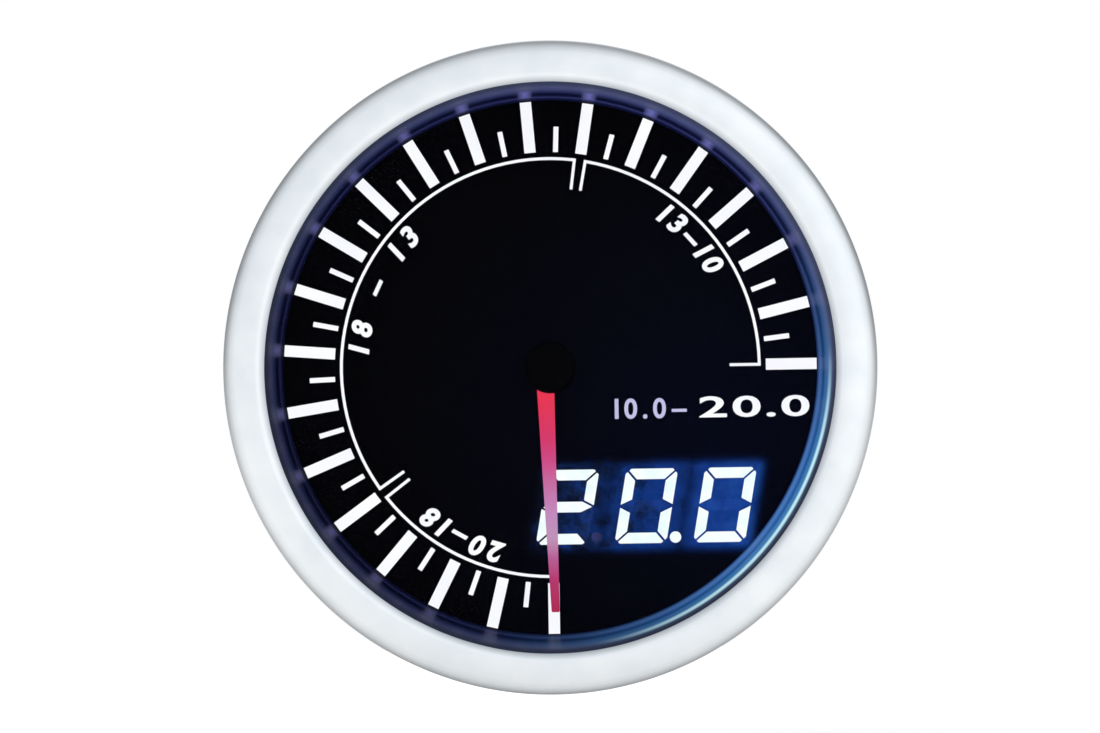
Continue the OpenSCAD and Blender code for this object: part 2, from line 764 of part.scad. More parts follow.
module housing_can() standing() color("#17181a") difference() {
    union() {
        difference() {
            union() {
                disc(rear_r, back_z, -spigot_l);
                disc(spigot_r, -spigot_l, 0);
                disc(rim_r, 0, rim_l);
                disc(rim_r + snap_h, snap_z, snap_z + snap_w);
            }
            disc(bore_r, back_inner_z, rim_l + cut);
            disc(seat_r, -ledge_depth, rim_l + cut);
        }
        at_screws() {
            disc(post_r, back_inner_z - cut, board_back_z);
            block([0, -post_rib_w / 2, back_inner_z - cut],
                [bore_r + cut - screw_circle_r, post_rib_w / 2, board_back_z]);
        }
    }
    at_screws() disc(screw_r + touch_gap, back_inner_z + post_floor, board_back_z + cut);
    for (p = socket_places) block_at(p, [socket_w + 2 * socket_gap, socket_h + 2 * socket_gap],
        back_z - cut, back_inner_z + cut);
    at_studs() disc(stud_r + stud_gap, back_z - cut, back_inner_z + cut);
}

module mounting_studs() standing() color("silver") at_studs() {
    translate([0, 0, back_inner_z]) cylinder(r = hex_r, h = stud_head_h, $fn = hex_sides);
    disc(stud_r, stud_end_z + stud_tip, back_inner_z);
    translate([0, 0, stud_end_z]) cylinder(r1 = stud_r - stud_tip, r2 = stud_r, h = stud_tip);
}

module stud_nuts() standing() color("silver") at_studs() difference() {
    translate([0, 0, back_z - stud_nut_h]) cylinder(r = hex_r, h = stud_nut_h, $fn = hex_sides);
    disc(stud_r + stud_gap, back_z - stud_nut_h - cut, back_z + cut);
}

// strip bent to a U: the bar lies behind the housing, the legs reach forward to the panel
module clamp_bracket() standing() color("lightsteelblue") difference() {
    rotate([90, 0, 0]) translate([0, 0, -clamp_w / 2]) linear_extrude(clamp_w) difference() {
        clamp_outline(clamp_inner_x + clamp_t, clamp_back_z, clamp_bend_r);
        clamp_outline(clamp_inner_x, clamp_front_z, clamp_bend_r - clamp_t);
        translate([-2 * clamp_inner_x, -panel_t]) square([4 * clamp_inner_x, -2 * clamp_back_z]);
    }
    at_studs() disc(stud_r + clamp_hole_gap, clamp_back_z - cut, clamp_front_z + cut);
}

// a box with rounded lower corners, open at the top
module clamp_outline(half, low, r) {
    translate([-half + r, low]) square([2 * (half - r), r + cut]);
    translate([-half, low + r]) square([2 * half, -low]);
    for (side = [-1, 1]) translate([side * (half - r), low + r]) circle(r);
}

module lock_washers() standing() color("silver") at_studs() difference() {
    tube(washer_r, stud_r + clamp_hole_gap, thumb_z, clamp_back_z);
    block([0, -washer_slot_w / 2, thumb_z - cut], [2 * washer_r, washer_slot_w / 2, clamp_back_z + cut]);
}

module thumb_nut(side) {
    thumb_r = thumb_d / 2;
    rim = [for (i = [0:2 * knurl_count - 1]) let (r = thumb_r - knurl_depth * (i % 2))
        r * [cos(180 * i / knurl_count), sin(180 * i / knurl_count)]];
    translate([side * stud_x, 0, 0]) difference() {
        union() {
            plate(thumb_back_z, thumb_z - thumb_neck_h) polygon(rim);
            disc(thumb_r * thumb_neck_share, thumb_z - thumb_neck_h - cut, thumb_z);
        }
        disc(stud_r + stud_gap, thumb_back_z - cut, thumb_z + cut);
    }
}

module thumb_nut_left() standing() color("goldenrod") thumb_nut(-1);

module thumb_nut_right() standing() color("goldenrod") thumb_nut(1);

// involute gear teeth: how far an involute has turned at an angle, and half a tooth's angle
function unrolled(a) = tan(a) * 180 / PI - a;
function half_tooth(teeth, shift, base, r) =
    (PI / 2 + 2 * shift * tan(pressure_angle) - gear_play / gear_module / 2) / teeth * 180 / PI
    + unrolled(pressure_angle) - (r > base ? unrolled(acos(base / r)) : 0);

function gear_points(teeth, shift, tip, root, phase) =
    let (base = teeth / 2 * gear_module * cos(pressure_angle),
        foot = max(base, root),
        flank = [for (i = [0:flank_steps]) foot + (tip - foot) * i / flank_steps],
        climb = concat(root < base ? [root] : [], flank),
        n = len(climb))
    [for (i = [0:teeth - 1]) for (j = [0:2 * n - 1])
        let (r = climb[j < n ? j : 2 * n - 1 - j],
            a = phase + i * 360 / teeth + (j < n ? -1 : 1) * half_tooth(teeth, shift, base, r))
        r * [cos(a), sin(a)]];

module output_gear() standing() color("ivory") difference() {
    plate(output_z, output_z + wheel_t) polygon(gear_points(output_teeth, -tooth_shift,
        output_tip_r, output_root_r, train_angle + 180 / output_teeth));
    translate([0, 0, output_z - cut])
        cylinder(r = shaft_bore_r, h = wheel_t + 2 * cut, $fn = bore_sides);
}

// large wheel and small pinion moulded in one
module intermediate_gear() standing() color("ivory") translate(intermediate_at) difference() {
    union() {
        plate(intermediate_z, intermediate_z + wheel_t) polygon(gear_points(wheel_teeth, -tooth_shift,
            wheel_tip_r, wheel_root_r, 180 / wheel_teeth));
        plate(intermediate_z + wheel_t, output_z + wheel_t + pinion_overlap)
            polygon(gear_points(pinion_teeth, tooth_shift,
                pinion_tip_r, pinion_root_r, train_angle + 180));
    }
    translate([0, 0, intermediate_z - cut])
        cylinder(r = pin_bore_r, h = motor_t, $fn = bore_sides);
}

module intermediate_pin() standing() color("silver") translate(intermediate_at)
    disc(gear_pin_r, motor_floor_z - bearing_depth, motor_inner_z + bearing_depth);

module rotor_pinion() standing() color("ivory") translate(rotor_at) difference() {
    plate(magnet_z + magnet_h, rotor_pinion_top_z)
        polygon(gear_points(pinion_teeth, tooth_shift, pinion_tip_r, pinion_root_r, 180));
    translate([0, 0, magnet_z]) cylinder(r = pin_bore_r, h = motor_t, $fn = bore_sides);
}

module rotor_magnet() standing() color("#55565c") translate(rotor_at)
    tube(magnet_r, gear_pin_r + gear_bore_gap, magnet_z, magnet_z + magnet_h);

module rotor_pin() standing() color("silver") translate(rotor_at)
    disc(gear_pin_r, motor_floor_z - bearing_depth, rotor_pinion_top_z + touch_gap);

module stator_outline() {
    difference() {
        union() {
            translate(rotor_at) circle(stator_ring_r);
            corner_block([stator_right - stator_arm_w, stator_low], [stator_right, stator_top]);
            corner_block([stator_inner - stator_arm_w, stator_low],
                [stator_right, stator_low + stator_arm_w]);
            corner_block([stator_inner - stator_arm_w, stator_low],
                [stator_inner, rotor_at[1] - magnet_r]);
            corner_block([rotor_at[0] + magnet_r + magnet_gap, stator_mid],
                [stator_right, stator_mid + stator_arm_w]);
            corner_block([stator_left, stator_top - stator_arm_w], [stator_right, stator_top]);
            corner_block([stator_left, rotor_at[1] + magnet_r],
                [stator_left + stator_arm_w, stator_top]);
            corner_block([stator_left, rotor_at[1] + magnet_r],
                [rotor_at[0], rotor_at[1] + magnet_r + stator_arm_w]);
        }
        translate(rotor_at) circle(magnet_r + magnet_gap);
        for (p = stator_pegs) translate(p) circle(stator_peg_r + running_gap);
    }
}

module corner_block(from, to) {
    translate(from) square(to - from);
}

module stator_plate() standing() color("slategray")
    plate(coil_z - stator_t / 2, coil_z + stator_t / 2) stator_outline();

// turns a piece drawn along z to lie along each coil
module at_coils() {
    translate([right_coil_at[0], right_coil_at[1], coil_z]) rotate([90, 0, 0]) children();
    translate([top_coil_at[0], top_coil_at[1], coil_z]) rotate([0, 90, 0]) children();
}

module coil_bobbins() standing() color("#202020") at_coils() difference() {
    union() {
        disc(bobbin_r, -coil_l / 2, coil_l / 2);
        for (side = [-1, 1]) translate([0, 0, side * (coil_l - flange_t) / 2])
            disc(coil_d / 2, -flange_t / 2, flange_t / 2);
    }
    disc(bobbin_bore_r, -coil_l / 2 - cut, coil_l / 2 + cut);
}

module coil_windings() standing() color("chocolate") at_coils()
    tube(coil_d / 2 - winding_gap, bobbin_r, flange_t - coil_l / 2, coil_l / 2 - flange_t);

module motor_terminals() standing() color("silver") for (p = terminal_places) translate(p)
    disc(terminal_r, coil_z + stator_t, board_z + terminal_proud);

module motor_outline(grow) {
    r = motor_corner_r + grow;
    for (x = [motor_left + motor_corner_r, motor_right - motor_corner_r])
        for (y = [motor_low + motor_corner_r, motor_high - motor_corner_r])
            translate([x, y]) circle(r);
    corner_block([motor_left + motor_corner_r, motor_low - grow],
        [motor_right - motor_corner_r, motor_high + grow]);
    corner_block([motor_left - grow, motor_low + motor_corner_r],
        [motor_right + grow, motor_high - motor_corner_r]);
}

module motor_front_shell() standing() color("#e8e6df") difference() {
    union() {
        plate(shell_split_z, motor_z) motor_outline(motor_wall);
        disc(bearing_r, motor_z - cut, motor_z + bearing_h);
        for (p = peg_places) translate(p) disc(peg_r, motor_z - cut, board_z + peg_proud);
    }
    plate(shell_split_z - cut, motor_inner_z) motor_outline(0);
    disc(shaft_r + running_gap, motor_inner_z - cut, motor_z + bearing_h + cut);
    translate(intermediate_at)
        disc(gear_pin_r + touch_gap, motor_inner_z - cut, motor_inner_z + bearing_depth);
    for (p = terminal_places) translate(p)
        disc(terminal_r + running_gap, motor_inner_z - cut, motor_z + cut);
}

module motor_rear_shell() standing() color("#d9d6cc") difference() {
    union() {
        plate(motor_back_z, shell_split_z) motor_outline(motor_wall);
        plate(shell_split_z - cut, shell_split_z + shell_lap) difference() {
            motor_outline(0);
            motor_outline(-lap_t);
        }
    }
    difference() {
        plate(motor_floor_z, shell_split_z + cut) motor_outline(0);
        plate(motor_floor_z, shell_split_z + cut) difference() {
            motor_outline(0);
            motor_outline(-lap_t);
        }
        for (p = stator_pegs) translate(p) {
            disc(stator_post_r, motor_floor_z - cut, coil_z - stator_t / 2);
            disc(stator_peg_r, motor_floor_z - cut, coil_z + stator_t / 2 + stator_peg_proud);
        }
    }
    disc(shaft_r + running_gap, motor_floor_z - bearing_depth - touch_gap, motor_floor_z + cut);
    translate(intermediate_at)
        disc(gear_pin_r + touch_gap, motor_floor_z - bearing_depth, motor_floor_z + cut);
    translate(rotor_at)
        disc(gear_pin_r + touch_gap, motor_floor_z - bearing_depth, motor_floor_z + cut);
}

bezel_ring();
lens();
lens_gasket();
trim_ring();
dial_plate();
dial_marks();
display_window();
pointer();
pointer_cap();
pointer_hub();
pointer_shaft();
light_guide();
light_box();
display_case();
lit_segments();
unlit_segments();
display_pins();
main_board();
backlight_leds();
microcontroller();
voltage_regulator();
capacitors();
resistors();
power_socket();
sensor_socket();
power_pins();
sensor_pins();
housing_can();
case_screws();
motor_front_shell();
motor_rear_shell();
output_gear();
intermediate_gear();
intermediate_pin();
rotor_pinion();
rotor_magnet();
rotor_pin();
stator_plate();
coil_bobbins();
coil_windings();
motor_terminals();
mounting_studs();
stud_nuts();
clamp_bracket();
lock_washers();
thumb_nut_left();
thumb_nut_right();
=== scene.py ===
import json
import math
import bmesh
import bpy
from mathutils import Euler, Matrix, Vector


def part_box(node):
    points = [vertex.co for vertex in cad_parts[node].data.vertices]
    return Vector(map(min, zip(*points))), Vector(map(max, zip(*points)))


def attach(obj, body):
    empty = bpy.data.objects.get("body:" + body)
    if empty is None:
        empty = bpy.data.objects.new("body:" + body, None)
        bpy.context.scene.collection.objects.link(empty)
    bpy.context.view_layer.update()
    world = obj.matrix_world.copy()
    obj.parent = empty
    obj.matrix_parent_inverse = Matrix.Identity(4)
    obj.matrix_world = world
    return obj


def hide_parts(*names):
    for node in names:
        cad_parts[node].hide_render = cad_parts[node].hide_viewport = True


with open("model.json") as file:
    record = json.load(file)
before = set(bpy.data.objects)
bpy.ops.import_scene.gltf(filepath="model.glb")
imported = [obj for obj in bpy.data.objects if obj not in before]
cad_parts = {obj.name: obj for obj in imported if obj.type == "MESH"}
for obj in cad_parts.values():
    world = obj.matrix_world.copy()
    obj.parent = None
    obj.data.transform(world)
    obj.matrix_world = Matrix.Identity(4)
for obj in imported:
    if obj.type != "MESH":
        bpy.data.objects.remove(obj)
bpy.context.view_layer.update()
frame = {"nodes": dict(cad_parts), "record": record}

# Dial coordinates, used for every piece below: millimetres, x to the right, y up and z towards
# the viewer, with z = 0 where the bezel meets the panel. on_dial() turns them into the frame's.
MM = 0.001
TURN = 2 * math.pi
ROUND_SIDES = 256
SMALL_SIDES = 48


def on_dial(x, y, z):
    return Vector((x, -z, y)) * MM


def span(node):
    """Lowest and highest corner of a CAD node in dial coordinates."""
    low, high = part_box(node)
    return (Vector((low.x, low.z, -high.y)) / MM, Vector((high.x, high.z, -low.y)) / MM)


# places and sizes read from the frame
BEZEL_R = span("bezel_ring")[1].x
BEZEL_H = span("bezel_ring")[1].z
LENS_LOW, LENS_HIGH = span("lens")
TRIM_LOW, TRIM_HIGH = span("trim_ring")
TICK_END_R = span("dial_marks")[1].x
DIAL_Z = span("dial_plate")[1].z
WINDOW_LOW, WINDOW_HIGH = span("display_window")
POINTER_TIP_Y = span("pointer")[0].y
STUD_LOW, STUD_HIGH = span("mounting_studs")
READOUT = (WINDOW_LOW + WINDOW_HIGH) / 2

# bezel, as turned
APERTURE_R = 27.55
BEZEL_BORE_R = 29.1
BEZEL_REAR_R = 29.55
BEZEL_BACK_EDGE = 0.2
BEZEL_FACE_DROP = 1.3
BEZEL_LIP_DROP = 0.3
BEZEL_CREST_SHARE = 0.75
BEZEL_STEPS = 16

# lens
LENS_CHAMFER = 0.15
LENS_CENTRE_R = 0.01

# trim ring, as moulded: its outer radius, its top, the foot of its step, and its foot
TRIM_R = 28.1
TRIM_TOP_R = 27.5
TRIM_STEP = (27.1, 2.4)
TRIM_FOOT = (26.15, -1.0)
TRIM_FOOT_R = 25.75

# the readout's light falls on the side near four o'clock, and the trim's painted glow is brightest
# towards two o'clock; both are directions in the frame
READOUT_SIDE = (0.78, 0.0, -0.63)
BRIGHTEST_GLOW_SIDE = (0.87, 0.0, 0.5)

# readout: its digits, how far its light reaches, and the point of its first digit
DIGIT_PITCH = 7.6
DIGIT_W = 5.0
DIGIT_H = 7.2
DIGIT_LEAN = math.radians(10)
READOUT_DIGITS = 3
GLOW_REACH = 1.7
FIRST_POINT = (4.25, -16.3)

# pointer: where its root lies, and how far its left edge is drawn in at the tip
POINTER_ROOT_X = -0.55
POINTER_DRAWN_IN = 0.3

# scale: angle between two long ticks
TICK_STEP = math.radians(13.5)

# numbers on the dial: share of the type's size that a figure is high, and the rest in mm
FIGURE_SHARE = 0.729
FIGURE_LIFT = 0.02
FIGURE_SLANT = 0.17
ARC_FIGURE_R = 17.65
ARC_FIGURE_H = 1.95
ARC_FIGURE_BOLD = 0.11
LEVEL_BASE = -5.0
LEVEL_GAP = 0.55

# threads and heads of the studs
THREAD_PITCH = 0.7
THREAD_DEPTH = 0.26
THREAD_ROWS = 8
THREAD_ROOT = 1.15
THREAD_FLANK = 1.3
STUD_R = 2.0
STUD_X = 19.0
STUD_HEAD_R = 4.04
STUD_HEAD_H = 2.4
STUD_END_CHAMFER = 0.5
STUD_HEAD_CHAMFER = (0.5, 0.3)
HEAD_SIDES = 6

# camera, its distance in metres, and the floor
CAMERA_DISTANCE = 2.75
CAMERA_ASIDE = (-0.03, 0.1)
SENSOR_WIDTH = 36.0
VIEW_WIDTH = 106.1
PICTURE_ROLL = math.radians(0.9)
FLOOR_Z = -36.0
FLOOR_HALF = 900


# colour and nodes

def linear(code):
    """Linear colour of an sRGB hex code."""
    parts = [int(code[i:i + 2], 16) / 255 for i in (1, 3, 5)]
    return [p / 12.92 if p <= 0.04045 else ((p + 0.055) / 1.055) ** 2.4 for p in parts] + [1.0]


def add_node(tree, kind, inputs=None, **settings):
    """Adds a node with its settings; inputs gives each socket a value or another node's output."""
    new = tree.nodes.new("ShaderNode" + kind)
    for key, value in settings.items():
        setattr(new, key, value)
    for key, value in (inputs or {}).items():
        if isinstance(value, bpy.types.NodeSocket):
            tree.links.new(value, new.inputs[key])
        else:
            new.inputs[key].default_value = value
    return new


def new_material(name, **shader):
    """A material with a plain shader; its constant values are set on the shader's own sockets."""
    made = bpy.data.materials.new(name)
    made.use_nodes = True
    surface = made.node_tree.nodes["Principled BSDF"]
    for key, value in shader.items():
        surface.inputs[key.replace("_", " ")].default_value = value
    return made, made.node_tree, surface


def set_ramp(ramp, stops):
    """Sets a colour ramp's stops, each a place and an sRGB hex code."""
    ramp.elements.remove(ramp.elements[1])
    first = ramp.elements[0]
    first.position, first.color = stops[0][0], linear(stops[0][1])
    for place, code in stops[1:]:
        ramp.elements.new(place).color = linear(code)


def grain_scale(size):
    """Scale of a texture whose features are of a size in mm."""
    return 1 / (size * MM)


def grained(name, base, shade, roughness, grain, depth, **shader):
    """A surface with fine grain of a size in mm: its colour, roughness and height all vary."""
    made, tree, surface = new_material(name, **shader)
    where = add_node(tree, "TexCoord").outputs["Object"]
    fine = add_node(tree, "TexNoise", {"Vector": where, "Scale": grain_scale(grain), "Detail": 3.0})
    broad = add_node(tree, "TexNoise", {"Vector": where, "Scale": grain_scale(grain * 30)})
    tint = add_node(tree, "ValToRGB", {"Fac": broad.outputs["Fac"]})
    set_ramp(tint.color_ramp, [(0.35, base), (0.7, shade)])
    tree.links.new(tint.outputs["Color"], surface.inputs["Base Color"])
    rough = add_node(tree, "MapRange", {"Value": fine.outputs["Fac"], "To Min": roughness * 0.85,
                                        "To Max": roughness * 1.15})
    tree.links.new(rough.outputs["Result"], surface.inputs["Roughness"])
    bump = add_node(tree, "Bump", {"Height": fine.outputs["Fac"], "Distance": depth * MM,
                                   "Strength": 0.6})
    tree.links.new(bump.outputs["Normal"], surface.inputs["Normal"])
    return made


def angle_share(tree, where):
    """How far a place lies towards four o'clock on the dial, from -1 to 1, and its radius in mm;
    with them, its distance in mm along the circle from the nearest long tick."""
    parts = add_node(tree, "SeparateXYZ", {0: where})
    flat = add_node(tree, "CombineXYZ", {0: parts.outputs["X"], 2: parts.outputs["Z"]})
    length = add_node(tree, "VectorMath", {0: flat.outputs[0]}, operation="LENGTH")
    unit = add_node(tree, "VectorMath", {0: flat.outputs[0]}, operation="NORMALIZE")
    share = add_node(tree, "VectorMath", {0: unit.outputs[0], 1: READOUT_SIDE},
                     operation="DOT_PRODUCT")
    radius = add_node(tree, "Math", {0: length.outputs["Value"], 1: MM}, operation="DIVIDE")
    turn = add_node(tree, "Math", {0: parts.outputs["X"], 1: parts.outputs["Z"]},
                    operation="ARCTAN2")
    turn = add_node(tree, "Math", {0: turn.outputs[0], 1: math.pi}, operation="ADD")
    turn = add_node(tree, "Math", {0: turn.outputs[0], 1: TICK_STEP / 2}, operation="PINGPONG")
    along = add_node(tree, "Math", {0: turn.outputs[0], 1: radius.outputs[0]}, operation="MULTIPLY")
    return share.outputs["Value"], radius.outputs[0], along.outputs[0]


def box_distance(tree, place, half):
    """Distance in mm from a box about the origin whose half sizes are given."""
    away = add_node(tree, "VectorMath", {0: place}, operation="ABSOLUTE")
    away = add_node(tree, "VectorMath", {0: away.outputs[0], 1: half}, operation="SUBTRACT")
    away = add_node(tree, "VectorMath", {0: away.outputs[0], 1: (0, 0, 0)}, operation="MAXIMUM")
    return add_node(tree, "VectorMath", {0: away.outputs[0]}, operation="LENGTH").outputs["Value"]


def readout_glow(tree, where):
    """Blue light round the digits, mottled, that fades with the distance from them."""
    place = add_node(tree, "VectorMath", {0: where, 1: on_dial(READOUT.x, READOUT.y, 0)},
                     operation="SUBTRACT")
    scaled = add_node(tree, "VectorMath", {0: place.outputs[0], "Scale": 1 / MM}, operation="SCALE")
    parts = add_node(tree, "SeparateXYZ", {0: scaled.outputs[0]})
    lean = add_node(tree, "Math", {0: parts.outputs["Z"], 1: -math.tan(DIGIT_LEAN),
                                   2: parts.outputs["X"]}, operation="MULTIPLY_ADD")
    in_row = add_node(tree, "CombineXYZ", {0: lean.outputs[0], 1: parts.outputs["Z"]})
    turned = add_node(tree, "Math", {0: lean.outputs[0], 1: DIGIT_PITCH / 2, 2: -DIGIT_PITCH / 2},
                      operation="WRAP")
    in_digit = add_node(tree, "CombineXYZ", {0: turned.outputs[0], 1: parts.outputs["Z"]})
    row_half = (READOUT_DIGITS - 1) / 2 * DIGIT_PITCH + DIGIT_W / 2
    row = add_node(tree, "MapRange", {
        "Value": box_distance(tree, in_row.outputs[0], (row_half, DIGIT_H / 2, 0)),
        "From Max": GLOW_REACH, "To Min": 1.0, "To Max": 0.0}, interpolation_type="SMOOTHSTEP")
    digit = add_node(tree, "MapRange", {
        "Value": box_distance(tree, in_digit.outputs[0], (DIGIT_W / 2, DIGIT_H / 2, 0)),
        "From Max": GLOW_REACH, "To Min": 1.0, "To Max": 0.35}, interpolation_type="SMOOTHSTEP")
    fade = add_node(tree, "Math", {0: row.outputs["Result"], 1: 2.0}, operation="POWER")
    fade = add_node(tree, "Math", {0: fade.outputs[0], 1: digit.outputs["Result"]},
                    operation="MULTIPLY")
    cloud = add_node(tree, "TexNoise", {"Vector": where, "Scale": grain_scale(2.4), "Detail": 5.0,
                                        "Roughness": 0.7})
    right = add_node(tree, "Math", {0: lean.outputs[0], 1: 0.021, 2: cloud.outputs["Fac"]},
                     operation="MULTIPLY_ADD")
    blue = add_node(tree, "ValToRGB", {"Fac": right.outputs[0]})
    set_ramp(blue.color_ramp, [(0.26, "#060B1C"), (0.36, "#0C1E44"), (0.5, "#0E2F74"),
                               (0.64, "#113888"), (0.8, "#184494")])
    return blue.outputs["Color"], fade.outputs[0]


# materials, each named for what the real one is

def blasted_aluminium():
    """Anodised aluminium, bead blasted: near white with a fine frost, and painted shade that greys
    it towards its inner and outer edges.
    """
    made = grained("blasted_anodised_aluminium", "#E5EAED", "#EDF0F2", 0.42, 0.12, 0.006,
                   Metallic=1.0)
    tree = made.node_tree
    surface = tree.nodes["Principled BSDF"]
    frost = surface.inputs["Base Color"].links[0].from_socket
    # painted shade: a grey ramp across the face darkens the bezel towards its inner and outer edges
    radius = angle_share(tree, add_node(tree, "TexCoord").outputs["Object"])[1]
    across = add_node(tree, "MapRange", {"Value": radius, "From Min": APERTURE_R,
                                         "From Max": BEZEL_R})
    grey = add_node(tree, "ValToRGB", {"Fac": across.outputs["Result"]})
    set_ramp(grey.color_ramp, [(0.0, "#CFD1D4"), (0.08, "#E8E9EB"), (0.16, "#FFFFFF"),
                               (0.72, "#FFFFFF"), (0.84, "#F4F4F4"), (0.92, "#DCDCDC"),
                               (0.965, "#C6C6C7"), (1.0, "#BCBCBE")])
    shaded_frost = add_node(tree, "Mix", {"Factor": 1.0, "A": frost, "B": grey.outputs["Color"]},
                     data_type="RGBA", blend_type="MULTIPLY")
    tree.links.new(shaded_frost.outputs["Result"], surface.inputs["Base Color"])
    return made


def clear_acrylic():
    """Cast acrylic, polished and anti-glare coated: clear, with only a faint gloss."""
    made, tree, surface = new_material("polished_acrylic_lens", Base_Color=linear("#0A0C14"),
                                       Roughness=0.04, Alpha=0.02, IOR=1.49,
                                       Specular_IOR_Level=0.3)
    return made


def navy_trim():
    """Moulded satin ABS, dark navy, its look painted as emitted light: painted reflections in bands
    across it, a painted pale highlight along its edges, and painted light from the readout and from
    each tick.
    """
    made, tree, surface = new_material("satin_navy_trim", Base_Color=linear("#03040C"),
                                       Roughness=0.3, Specular_IOR_Level=0.05)
    where = add_node(tree, "TexCoord").outputs["Object"]
    share, radius, along = angle_share(tree, where)
    lit = add_node(tree, "ValToRGB", {"Fac": share})
    set_ramp(lit.color_ramp, [(0.1, "#000000"), (0.45, "#303030"), (0.68, "#7C7C7C"),
                              (0.88, "#BCBCBC"), (1.0, "#E6E6E6")])
    across = add_node(tree, "MapRange", {"Value": radius, "From Min": TICK_END_R,
                                         "From Max": APERTURE_R})
    # painted reflections and glow: the emitted colour in bands across the trim's width, away from
    # the readout's light
    plain = add_node(tree, "ValToRGB", {"Fac": across.outputs["Result"]})
    set_ramp(plain.color_ramp, [(0.04, "#04061A"), (0.14, "#0C1030"), (0.21, "#262A54"),
                                (0.29, "#080B28"), (0.38, "#040722"), (0.5, "#22284E"),
                                (0.6, "#343A60"), (0.7, "#3C4266"), (0.79, "#363C5C"),
                                (0.88, "#30364E"), (1.0, "#343A50")])
    # painted light from the readout, in bands across the trim's width
    blue = add_node(tree, "ValToRGB", {"Fac": across.outputs["Result"]})
    set_ramp(blue.color_ramp, [(0.05, "#1A396E"), (0.15, "#4C7CBA"), (0.26, "#4070B4"),
                               (0.36, "#1C5598"), (0.46, "#3C78B0"), (0.58, "#3C7CB4"),
                               (0.7, "#46749C"), (0.8, "#42566E"), (0.88, "#262E3C"),
                               (1.0, "#2A2E38")])
    glow = add_node(tree, "Mix", {"Factor": lit.outputs["Color"], "A": plain.outputs["Color"],
                                  "B": blue.outputs["Color"]}, data_type="RGBA")
    # painted highlight: a pale line along the trim's edge, strongest on the readout's side
    edge = add_node(tree, "ValToRGB", {"Fac": across.outputs["Result"]})
    set_ramp(edge.color_ramp, [(0.57, "#000000"), (0.65, "#FFFFFF"), (0.71, "#FFFFFF"),
                               (0.79, "#000000")])
    bright = add_node(tree, "MapRange", {"Value": share, "From Min": 0.72, "From Max": 0.99},
                      interpolation_type="SMOOTHSTEP")
    edge = add_node(tree, "Math", {0: edge.outputs["Color"], 1: bright.outputs["Result"]},
                    operation="MULTIPLY")
    glow = add_node(tree, "Mix", {"Factor": edge.outputs[0], "A": glow.outputs["Result"],
                                  "B": linear("#B2D8E2")}, data_type="RGBA")
    # painted light: lavender glints spilled from each long tick onto the trim, fading towards the
    # readout's side
    spill = add_node(tree, "ValToRGB", {"Fac": across.outputs["Result"]})
    set_ramp(spill.color_ramp, [(0.16, "#000000"), (0.28, "#FFFFFF"), (0.46, "#FFFFFF"),
                                (0.6, "#000000")])
    near = add_node(tree, "MapRange", {"Value": along, "From Min": 0.1, "From Max": 0.8,
                                       "To Min": 0.5, "To Max": 0.0})
    spill = add_node(tree, "Math", {0: spill.outputs["Color"], 1: near.outputs["Result"]},
                     operation="MULTIPLY")
    unlit = add_node(tree, "MapRange", {"Value": share, "From Min": -0.2, "From Max": 0.75,
                                        "To Min": 1.0, "To Max": 0.0})
    spill = add_node(tree, "Math", {0: spill.outputs[0], 1: unlit.outputs["Result"]},
                     operation="MULTIPLY")
    glow = add_node(tree, "Mix", {"Factor": spill.outputs[0], "A": glow.outputs["Result"],
                                  "B": linear("#6A6CC0")}, data_type="RGBA")
    tree.links.new(glow.outputs["Result"], surface.inputs["Emission Color"])
    # painted light: the trim's glow is brighter at two o'clock than across from there
    unit = add_node(tree, "VectorMath", {0: where}, operation="NORMALIZE")
    side = add_node(tree, "VectorMath", {0: unit.outputs[0], 1: BRIGHTEST_GLOW_SIDE},
                    operation="DOT_PRODUCT")
    level = add_node(tree, "MapRange", {"Value": side.outputs["Value"], "From Min": -1.0,
                                        "To Min": 0.5, "To Max": 1.5})
    tree.links.new(level.outputs["Result"], surface.inputs["Emission Strength"])
    return made


def dial_print():
    """Black screen print on the dial, matt, with the readout's light showing faintly round it."""
    made, tree, surface = new_material("matt_black_dial_print", Base_Color=linear("#020204"),
                                       Roughness=0.7, Specular_IOR_Level=0.005,
                                       Emission_Strength=1.0)
    where = add_node(tree, "TexCoord").outputs["Object"]
    blue, fade = readout_glow(tree, where)
    grain = add_node(tree, "TexNoise", {"Vector": where, "Scale": grain_scale(0.15), "Detail": 3.0})
    bump = add_node(tree, "Bump", {"Height": grain.outputs["Fac"], "Distance": 0.002 * MM,
                                   "Strength": 0.3})
    tree.links.new(bump.outputs["Normal"], surface.inputs["Normal"])
    # painted glow: emitted navy, strongest near the readout and fading out over 30 mm
    middle = on_dial(READOUT.x + 6, READOUT.y + 6, DIAL_Z)
    away = add_node(tree, "VectorMath", {0: where, 1: middle}, operation="DISTANCE")
    navy_glow_share = add_node(tree, "MapRange", {"Value": away.outputs["Value"], "From Max": 30 * MM,
                                       "To Min": 1.0, "To Max": 0.0})
    navy = add_node(tree, "ValToRGB", {"Fac": navy_glow_share.outputs["Result"]})
    set_ramp(navy.color_ramp, [(0.0, "#010102"), (0.5, "#02030A"), (1.0, "#030514")])
    glow = add_node(tree, "Mix", {"Factor": fade, "A": navy.outputs["Color"], "B": blue},
                    data_type="RGBA")
    tree.links.new(glow.outputs["Result"], surface.inputs["Emission Color"])
    return made


